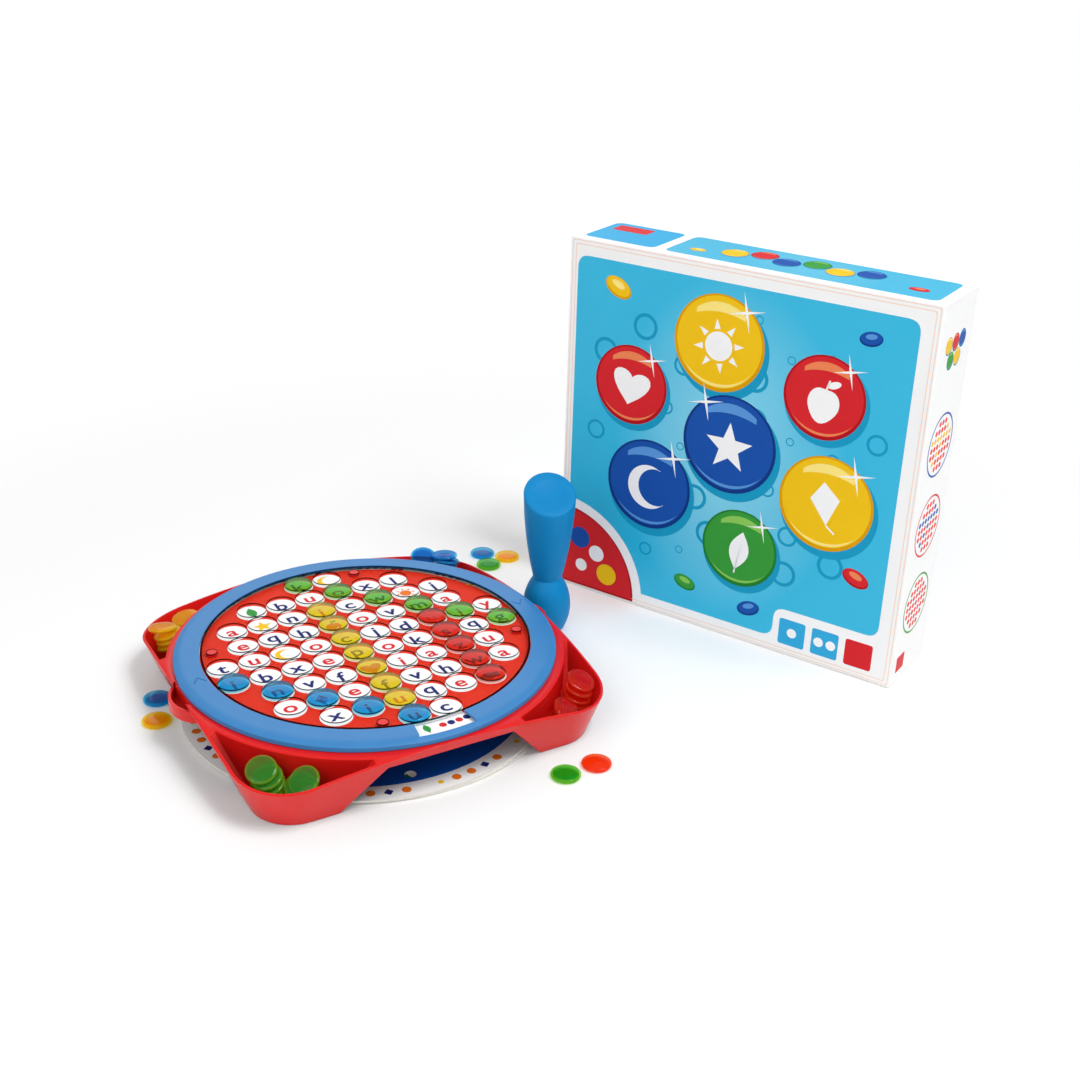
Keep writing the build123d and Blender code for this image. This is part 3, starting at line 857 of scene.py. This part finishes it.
def lidFront():
    run = PrintRun("lid_front", lidFaces["front"], 0.0, "box_lid", "lid_print")
    left, right, low, high = panel["left"], panel["right"], panel["low"], panel["high"]
    (notchX, notchY), (cornerX, cornerY) = panel["notch"], panel["corner"]
    band = lid["quarter"] + lid["band"]
    start = math.degrees(math.asin((low - cornerY) / band))
    end = math.degrees(math.acos((left - cornerX) / band))
    corners = rounded([(left, panel["start"]), (left, high), (right, high), (right, notchY), (notchX, notchY),
                       (notchX, low), (panel["start"], low)], lid["corner"])
    outline = corners[cornerSteps + 1:-cornerSteps - 1] + arc(band, start, end, 16, cornerX, cornerY)
    run.flat("sky", [outline], 0)
    for k in range(bubbles["count"]):
        x, y = onCircle(bubbles["spread"] * math.sqrt(k + 0.5), bubbles["turn"] * k)
        x, y = x + bubbles["x"], y + bubbles["y"]
        size = bubbles["size"] + bubbles["step"] * (k % 4)
        free = math.hypot(x - cornerX, y - cornerY) > band + bubbles["clear"]
        if free and 16 < x < 246 and 46 < y < 246:
            run.flat("skyDark", [circle(size, 24, x, y), circle(size * bubbles["hole"], 24, x, y)], 1)
    middleX, middleY = panel["middle"]
    for k, (colour, picture) in enumerate(panel["ring"]):
        odd = k % 2
        size = panel["sizes"][odd]
        x, y = onCircle(panel["reaches"][odd], 60 * k + 100)
        x, y = middleX + x * panel["widen"], middleY + y
        printedToken(run, colour, x, y, size, 2, picture, 8 - 16 * odd)
        sparkle(run, x + size * 0.55, y + size * 0.72, size * 0.42, 7)
    printedToken(run, "royal", middleX, middleY, panel["centreSize"], 2, 1)
    sparkle(run, middleX - 20, middleY + 27, 14.0, 7)
    for settings in panel["loose"]:
        smallToken(run, *settings, 2)
    run.flat("redDark", [[(cornerX, cornerY)] + arc(lid["quarter"], 0, 90, 20, cornerX, cornerY)], 0)
    x, y = cornerX + 1.5, cornerY + 1.5
    run.flat("red", [[(x, y)] + arc(lid["quarter"] - 3.2, 0, 90, 20, x, y)], 1)
    for k, (ink, size) in enumerate((("yellow", 8.5), ("white", 6.5), ("royal", 8.5))):
        run.flat(ink, [moved(circle(size, 28, *onCircle(41, 20 + 25 * k)), x, y)], 2)
    run.flat("white", [circle(5.0, 24, x + 16, y + 16)], 2)
    for inset in (1.6, 4.2):
        lines = []
        for near in (inset, inset + 0.7):
            lines.append(frameRectangle(near, near, lid["side"] - near, lid["side"] - near, 2.0))
        run.flat("peach", lines, 0)
    for k, ink in enumerate(("cyan", "cyan", "red")):
        x = 185.0 + 25.0 * k
        run.flat(ink, [frameRectangle(x, 8.0, x + 20.0, 28.0, 2.0)], 0)
        for dot in range(k + 1 if ink == "cyan" else 0):
            run.flat("white", [circle(3.6, 20, x + 10 + 4.6 * (2 * dot - k), 18.0)], 1)
    run.finish()


# A small round board in outline with its dots
def boardSign(run, ink, dots, x, y, size, layer):
    run.flat(ink, [circle(22.0 * size, 48, x, y), circle(20.6 * size, 48, x, y)], layer)
    for row in range(-3, 4):
        for column in range(-3, 4):
            if math.hypot(row, column) < 3.3:
                mark = dots if row == column or row == 1 else "coral"
                run.flat(mark, [circle(2.0 * size, 14, x + 5.2 * size * column, y + 5.2 * size * row)], layer)


signInks = (("royal", "yellow"), ("red", "royal"), ("green", "red"))


# Narrow sides: white with a small heap of tokens and three round boards in outline
def lidSide(name):
    run = PrintRun("lid_" + name, lidFaces[name], 0.0, "box_lid", "lid_print")
    for k, colour in enumerate(("yellow", "red", "royal", "green", "yellow")):
        printedToken(run, colour, 18 + 12 * (k % 3) + 6 * (k // 3), 240 - 11 * (k // 3), 5.7, 0)
    for k, signs in enumerate(signInks):
        boardSign(run, *signs, 30, 170.0 - 58.0 * k, 1.0, 0)
    run.flat("red", [frameRectangle(8, 8, 22, 20, 1.5)], 0)
    run.finish()


def lidTop():
    run = PrintRun("lid_top", lidFaces["top"], 0.0, "box_lid", "lid_print")
    run.flat("sky", [frameRectangle(70.0, 6.0, 263.0, 54.0, 6.0)], 0)
    run.flat("cyan", [frameRectangle(6.0, 6.0, 62.0, 54.0, 6.0)], 0)
    for k, colour in enumerate(("yellow", "red", "royal", "green", "yellow", "royal")):
        printedToken(run, colour, 112 + 19 * k, 30 + 7 * (k % 2), 9.4, 1)
    smallToken(run, "yellow", 88, 22, 6, 0, 1)
    smallToken(run, "red", 244, 24, 7, 0, 1)
    run.flat("red", [frameRectangle(12, 34, 40, 48, 1.5)], 1)
    run.finish()


# Underside of the box tray, which stands to the back: blue panel, a row of tokens and three boards on white
def trayBack():
    points = [vertex.co for vertex in frame["nodes"]["box_tray"].data.vertices]
    right, rear = (max(p.dot(axis) for p in points) for axis in (across, back))
    low = min(p.z for p in points)
    width = (right - min(p.dot(across) for p in points)) / mm
    height = (max(p.z for p in points) - low) / mm
    face = lidFace(across * right + back * rear + upward * low, -across, upward)
    run = PrintRun("tray_back", face, 0.0, "box_tray", "tray_paper")
    edge, field = 10.0, (24.0, 26.0, 118.0)
    run.flat("sky", [frameRectangle(edge, edge, width - edge, height - edge, lid["corner"])], 0)
    run.flat("white", [frameRectangle(field[0], field[1], width - field[0], field[2], lid["corner"])], 1)
    for k, signs in enumerate(signInks):
        boardSign(run, *signs, width / 2 + 72.0 * (k - 1), (field[1] + field[2]) / 2, 1.5, 2)
    row = (("yellow", 2), ("red", 5), ("royal", 1), ("green", 0), ("yellow", 6))
    for k, (colour, picture) in enumerate(row):
        x, y = width / 2 + 45.0 * (k - 2), 182.0 + 14.0 * (k % 2)
        printedToken(run, colour, x, y, 19.0, 1, picture)
        sparkle(run, x + 11.0, y + 14.0, 8.0, 6)
    run.finish()


lidFront()
lidSide("right")
lidSide("left")
lidTop()
trayBack()
for node in ("box_lid", "box_tray"):
    slots = frame["nodes"][node].data.materials
    slots.clear()
    slots.append(inks["white"])
print("box done")

# Floor, light and camera
floorSettings = dict(colour="#FAFAFA", size=30.0, near=0.3, far=0.66, drop=0.0002)
sweep = newMaterial("white sweep, matt paint")
paint = addNode(sweep, "ShaderNodeBsdfPrincipled", {
    "Base Color": linear(floorSettings["colour"]), "Roughness": 0.9, "Specular IOR Level": 0.1})
ground = addNode(sweep, "ShaderNodeTexCoord").outputs["Object"]
distance = addNode(sweep, "ShaderNodeVectorMath", {0: ground}, operation="LENGTH").outputs["Value"]
fadeRange = {"Value": distance, "From Min": floorSettings["near"], "From Max": floorSettings["far"]}
fade = addNode(sweep, "ShaderNodeMapRange", fadeRange, interpolation_type="SMOOTHSTEP").outputs["Result"]
white = addNode(sweep, "ShaderNodeEmission", {"Color": (1, 1, 1, 1), "Strength": 1.0})
seen = addNode(sweep, "ShaderNodeLightPath").outputs["Is Camera Ray"]
farSeen = calculated(sweep, "MULTIPLY", fade, seen)
finishMaterial(sweep, mixShaders(sweep, farSeen, paint.outputs["BSDF"], white.outputs["Emission"]))
floorMesh = bpy.data.meshes.new("floor")
reach = floorSettings["size"]
floorMesh.from_pydata([(-reach, -reach, 0), (reach, -reach, 0), (reach, reach, 0), (-reach, reach, 0)], [],
                      [(0, 1, 2, 3)])
floorMesh.materials.append(sweep)
floor = bpy.data.objects.new("floor", floorMesh)
floor.location.z = -floorSettings["drop"]
bpy.context.scene.collection.objects.link(floor)

view = dict(eye=(-329.8, -777.0, 519.4), target=(179.0, 83.7, 40.0), lens=48.87, sensor=36.0, roll=1.6,
            farthest=100.0)
camera = bpy.data.objects.new("camera", bpy.data.cameras.new("camera"))
bpy.context.scene.collection.objects.link(camera)
eye = boardCentre + Vector(view["eye"]) * mm
aim = boardCentre + Vector(view["target"]) * mm
camera.data.lens = view["lens"]
camera.data.sensor_width = view["sensor"]
camera.data.clip_end = view["farthest"]
turn = (aim - eye).to_track_quat("-Z", "Y").to_matrix().to_4x4()
turn = turn @ Matrix.Rotation(math.radians(view["roll"]), 4, "Z")
camera.matrix_world = Matrix.Translation(eye) @ turn
bpy.context.scene.camera = camera

lamps = {
    "key": dict(place=(0.5, -0.9, 1.9), size=0.9, power=22.0),
    "fill": dict(place=(-1.5, -0.8, 1.3), size=1.6, power=12.0),
    "back": dict(place=(0.53, 1.52, 1.05), size=1.1, power=4.0),
    "spark": dict(place=(0.2, -0.5, 1.5), size=0.13, power=2.0),
}
for name, lamp in lamps.items():
    light = bpy.data.lights.new(name, "AREA")
    light.size = lamp["size"]
    light.energy = lamp["power"]
    holder = bpy.data.objects.new(name, light)
    holder.location = lamp["place"]
    holder.rotation_euler = (-Vector(lamp["place"])).to_track_quat("-Z", "Y").to_euler()
    bpy.context.scene.collection.objects.link(holder)

# The white room lights the set at under half the strength at which the camera sees it
room = dict(light=0.46, seen=1.0)
world = bpy.data.worlds.new("studio")
world.use_nodes = True
world.node_tree.nodes.clear()
direct = addNode(world, "ShaderNodeLightPath").outputs["Is Camera Ray"]
level = ranged(world, direct, room["light"], room["seen"])
sky = addNode(world, "ShaderNodeBackground", {"Color": (1, 1, 1, 1), "Strength": level})
addNode(world, "ShaderNodeOutputWorld", {"Surface": sky.outputs["Background"]})
bpy.context.scene.world = world
bpy.context.scene.view_settings.view_transform = "Standard"
print("stage done")
